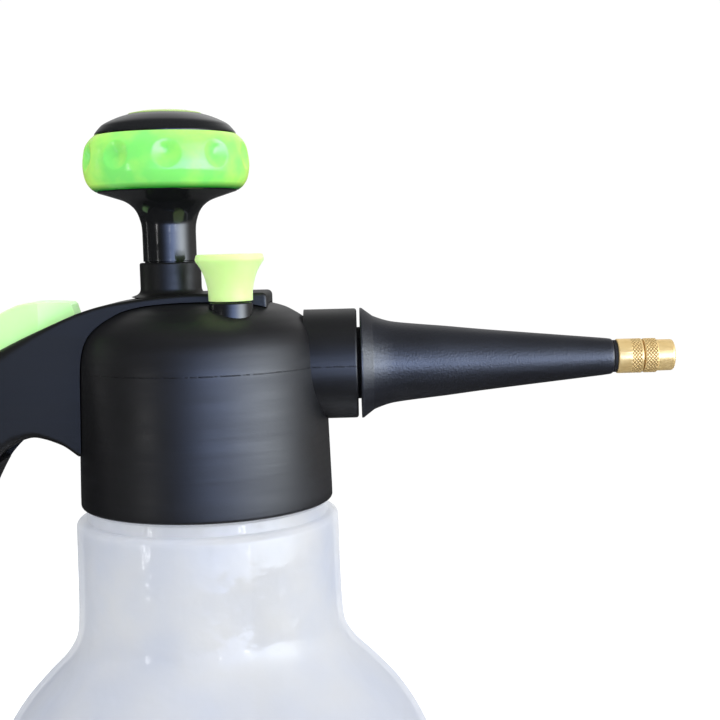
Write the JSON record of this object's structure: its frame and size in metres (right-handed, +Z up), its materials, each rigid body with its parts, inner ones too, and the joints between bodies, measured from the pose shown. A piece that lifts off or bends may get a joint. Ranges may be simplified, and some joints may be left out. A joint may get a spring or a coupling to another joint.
{
  "type": "hand pump sprayer",
  "caption": "Hand-held compression sprayer: translucent bottle, screw-on head with thumb trigger, pull-up air pump, relief valve and adjustable brass nozzle.",
  "frame": {"origin": "centre of the bottle's resting face, on the axis of its neck", "axes": "+Z up along the bottle's axis, +X from the grip towards the nozzle, +Y to the left when facing along +X"},
  "size_m": [0.2559, 0.1396, 0.3099],
  "materials": {
    "bottle_plastic": "milky translucent",
    "black_satin": "satin",
    "black_gloss": "gloss",
    "inner_black": "plain",
    "white_plastic": "plain",
    "grip_green": "translucent green",
    "trigger_green": "pale green",
    "valve_lime": "lime",
    "brass": "satin",
    "steel": "bright",
    "rubber": "black"
  },
  "bodies": {
    "bottle": {"bottle": "bottle_plastic"},
    "neck_seal": {"neck_gasket": "rubber"},
    "head": {"head_cap": "black_satin", "handle_frame": "black_satin", "grip_cover": "black_satin", "cover_screw_1": "steel", "cover_screw_2": "steel", "arch_screw_1": "steel", "arch_screw_2": "steel", "trigger_pin": "steel", "trigger_spring": "steel", "valve_body": "white_plastic", "gland_nut": "white_plastic", "gland_oring": "rubber", "valve_spring": "steel", "cone_gasket": "rubber", "nozzle_cone": "black_satin", "nozzle_gasket": "rubber", "nozzle_body": "brass", "inlet_oring": "rubber", "dip_tube": "white_plastic", "dip_filter": "inner_black", "pump_barrel": "white_plastic", "barrel_oring": "rubber", "valve_retainer": "white_plastic", "rod_guide": "white_plastic", "collar_nut": "inner_black", "relief_spring": "steel", "relief_retainer": "inner_black"},
    "trigger": {"trigger": "trigger_green"},
    "valve_pull": {"pull_link": "white_plastic", "valve_needle": "brass", "needle_seal": "rubber"},
    "check_valve": {"check_valve": "rubber"},
    "piston_seal": {"piston_seal": "rubber"},
    "plunger": {"piston": "white_plastic", "piston_nut": "inner_black", "pump_rod": "white_plastic", "knob_body": "black_gloss", "knob_screw": "steel", "knob_ring": "grip_green", "knob_cap": "black_gloss", "knob_badge": "grip_green"},
    "relief": {"relief_stem": "inner_black", "relief_seal": "rubber", "relief_knob": "valve_lime"},
    "nozzle_seal": {"nozzle_oring": "rubber"},
    "nozzle_cap": {"nozzle_cap": "brass"}
  },
  "joints": [
    {"name": "head_lift", "type": "slide", "parent": "bottle", "child": "neck_seal", "axis": [0, 0, 1], "range_m": [0, 0.0076]},
    {"name": "head_unscrew", "type": "hinge", "parent": "neck_seal", "child": "head", "pos_m": [0, 0, 0.19], "axis": [0, 0, 1], "range_deg": [0, 540]},
    {"name": "trigger_press", "type": "hinge", "parent": "head", "child": "trigger", "pos_m": [-0.072, 0, 0.2285], "axis": [0, 1, 0], "range_deg": [0, 7], "stiffness_Nm_per_rad": 0.4, "springref_deg": -171.89, "deforming": ["trigger_spring"]},
    {"name": "valve_pull_slide", "type": "slide", "parent": "head", "child": "valve_pull", "axis": [-1, 0, 0], "range_m": [0, 0.002], "deforming": ["valve_spring"]},
    {"name": "pump_stroke", "type": "slide", "parent": "head", "child": "piston_seal", "axis": [0, 0, 1], "range_m": [0, 0.1]},
    {"name": "knob_spin", "type": "hinge", "parent": "piston_seal", "child": "plunger", "pos_m": [-0.009, 0, 0.29], "axis": [0, 0, 1], "continuous": true},
    {"name": "relief_pull", "type": "slide", "parent": "head", "child": "relief", "axis": [0, 0, 1], "range_m": [0, 0.004], "stiffness_N_per_m": 400, "springref_m": -0.002, "deforming": ["relief_spring"]},
    {"name": "check_valve_drop", "type": "slide", "parent": "head", "child": "check_valve", "axis": [0, 0, -1], "range_m": [0, 0.0015]},
    {"name": "nozzle_travel", "type": "slide", "parent": "head", "child": "nozzle_seal", "axis": [1, 0, 0], "range_m": [0, 0.002]},
    {"name": "nozzle_turn", "type": "hinge", "parent": "nozzle_seal", "child": "nozzle_cap", "pos_m": [0.1407, 0, 0.2314], "axis": [1, 0, 0], "range_deg": [0, 721]}
  ],
  "couplings": [
    {"joint": "head_lift", "follows": "head_unscrew", "m_per_rad": 0.00079577},
    {"joint": "valve_pull_slide", "follows": "trigger_press", "m_per_rad": 0.015},
    {"joint": "nozzle_turn", "follows": "nozzle_travel", "rad_per_m": 6283.2}
  ]
}
